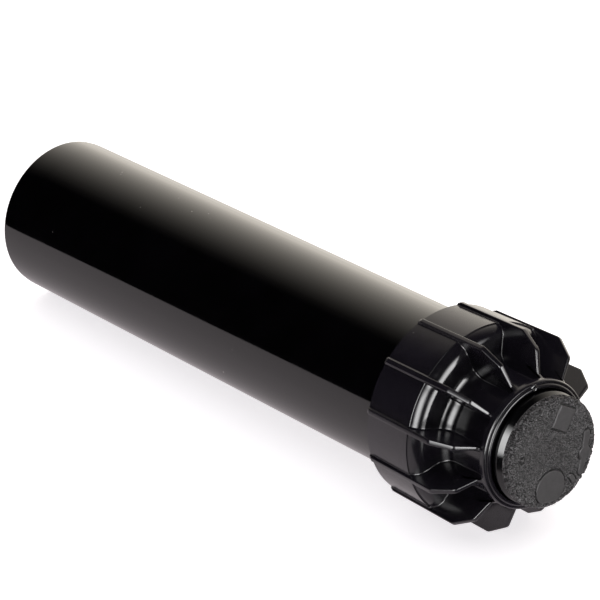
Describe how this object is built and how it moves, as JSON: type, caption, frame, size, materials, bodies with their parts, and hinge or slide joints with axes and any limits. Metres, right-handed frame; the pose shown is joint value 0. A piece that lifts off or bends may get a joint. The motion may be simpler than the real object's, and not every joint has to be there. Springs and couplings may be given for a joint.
{
  "type": "pop up sprinkler",
  "caption": "Gear driven pop up sprinkler with a finned screw cap, a sprung riser and a turning nozzle turret.",
  "frame": {"origin": "centre of the inlet's mouth, on the flat base face", "axes": "+Z along the case, the way the riser pops up; +X between two fins, through the pip on the collar"},
  "size_m": [0.0604, 0.0604, 0.2286],
  "materials": {
    "case_plastic": "glossy black moulded ABS",
    "cap_plastic": "glossy black moulded ABS, satin on the skirt",
    "turret_plastic": "smooth black plastic",
    "cover_rubber": "matt dark grey rubber with a pebbled texture",
    "seal_rubber": "smooth black rubber",
    "grey_plastic": "satin grey acetal",
    "white_plastic": "natural white acetal",
    "blue_plastic": "blue moulded plastic",
    "steel": "drawn stainless steel",
    "brass": "turned brass"
  },
  "bodies": {
    "case": {"case_body": "case_plastic", "body_cap": "cap_plastic", "cap_o_ring": "seal_rubber", "riser_seal": "seal_rubber", "seal_retainer": "grey_plastic", "retraction_spring": "steel"},
    "ratchet": {"ratchet_ring": "white_plastic"},
    "riser": {"riser_tube": "turret_plastic", "check_seal": "seal_rubber", "filter_screen": "white_plastic", "stator": "grey_plastic", "spring_clip": "steel", "bypass_spring": "steel", "gear_case_base": "grey_plastic", "gear_case_shell": "grey_plastic", "gear_shaft_a": "steel", "gear_shaft_b": "steel", "toggle_spring": "steel", "top_bearing": "white_plastic", "stem_seal": "seal_rubber", "thrust_washer_upper": "brass", "thrust_washer_lower": "brass"},
    "bypass": {"bypass_valve": "blue_plastic"},
    "turbine_rotor": {"turbine": "white_plastic", "turbine_shaft": "steel", "turbine_pinion": "white_plastic"},
    "reduction_1": {"gear_1": "white_plastic"},
    "reduction_2": {"gear_2": "blue_plastic"},
    "reduction_3": {"gear_3": "white_plastic"},
    "reduction_4": {"gear_4": "blue_plastic"},
    "reduction_5": {"gear_5": "white_plastic"},
    "trip": {"trip_lever": "blue_plastic", "trip_rod": "steel", "shift_arm": "blue_plastic"},
    "turret": {"output_gear": "white_plastic", "drive_stem": "grey_plastic", "stem_clip": "steel", "nozzle_housing": "turret_plastic", "nozzle": "blue_plastic", "nozzle_o_ring": "seal_rubber", "rubber_cover": "cover_rubber"},
    "arc": {"arc_ring": "blue_plastic"},
    "adjuster": {"arc_adjuster": "brass"},
    "screw": {"range_screw": "steel"}
  },
  "joints": [
    {"name": "riser_slide", "type": "slide", "parent": "case", "child": "ratchet", "axis": [0, 0, 1], "range_m": [0, 0.15], "stiffness_N_per_m": 110, "springref_m": -0.16, "deforming": ["retraction_spring"]},
    {"name": "riser_ratchet_turn", "type": "hinge", "parent": "ratchet", "child": "riser", "pos_m": [0, 0, 0.0285], "axis": [0, 0, 1], "continuous": true},
    {"name": "turret_turn", "type": "hinge", "parent": "riser", "child": "turret", "pos_m": [0, 0, 0.195], "axis": [0, 0, 1], "range_deg": [-180, 180]},
    {"name": "bypass_lift", "type": "slide", "parent": "riser", "child": "bypass", "axis": [0, 0, 1], "range_m": [0, 0.002], "stiffness_N_per_m": 500, "springref_m": -0.002, "deforming": ["bypass_spring"]},
    {"name": "turbine_spin", "type": "hinge", "parent": "riser", "child": "turbine_rotor", "pos_m": [0, 0, 0.128], "axis": [0, 0, 1], "continuous": true},
    {"name": "gear_1_spin", "type": "hinge", "parent": "riser", "child": "reduction_1", "pos_m": [0.00545, 0, 0.1362], "axis": [0, 0, 1], "continuous": true},
    {"name": "gear_2_spin", "type": "hinge", "parent": "riser", "child": "reduction_2", "pos_m": [0.00272, 0.00472, 0.1392], "axis": [0, 0, 1], "continuous": true},
    {"name": "gear_3_spin", "type": "hinge", "parent": "riser", "child": "reduction_3", "pos_m": [0.00545, 0, 0.1422], "axis": [0, 0, 1], "continuous": true},
    {"name": "gear_4_spin", "type": "hinge", "parent": "riser", "child": "reduction_4", "pos_m": [0.00272, 0.00472, 0.1452], "axis": [0, 0, 1], "continuous": true},
    {"name": "gear_5_spin", "type": "hinge", "parent": "riser", "child": "reduction_5", "pos_m": [0.00545, 0, 0.1482], "axis": [0, 0, 1], "continuous": true},
    {"name": "trip_toggle", "type": "hinge", "parent": "riser", "child": "trip", "pos_m": [-0.0097, 0.0056, 0.202], "axis": [0, 0, 1], "range_deg": [-10, 10]},
    {"name": "arc_set", "type": "hinge", "parent": "turret", "child": "arc", "pos_m": [0, 0, 0.206], "axis": [0, 0, 1], "range_deg": [-140, 180]},
    {"name": "arc_adjuster_turn", "type": "hinge", "parent": "turret", "child": "adjuster", "pos_m": [-0.00271, 0.01012, 0.215], "axis": [0, 0, 1], "range_deg": [-600, 467]},
    {"name": "range_screw_turn", "type": "hinge", "parent": "turret", "child": "screw", "pos_m": [0.0062, -0.01074, 0.222], "axis": [0, 0, 1], "range_deg": [0, 1440]}
  ],
  "couplings": [
    {"joint": "turbine_spin", "follows": "turret_turn", "ratio": 64},
    {"joint": "gear_1_spin", "follows": "turret_turn", "ratio": -32},
    {"joint": "gear_2_spin", "follows": "turret_turn", "ratio": 16},
    {"joint": "gear_3_spin", "follows": "turret_turn", "ratio": -8},
    {"joint": "gear_4_spin", "follows": "turret_turn", "ratio": 4},
    {"joint": "gear_5_spin", "follows": "turret_turn", "ratio": -2},
    {"joint": "arc_adjuster_turn", "follows": "arc_set", "ratio": -3.3333}
  ]
}
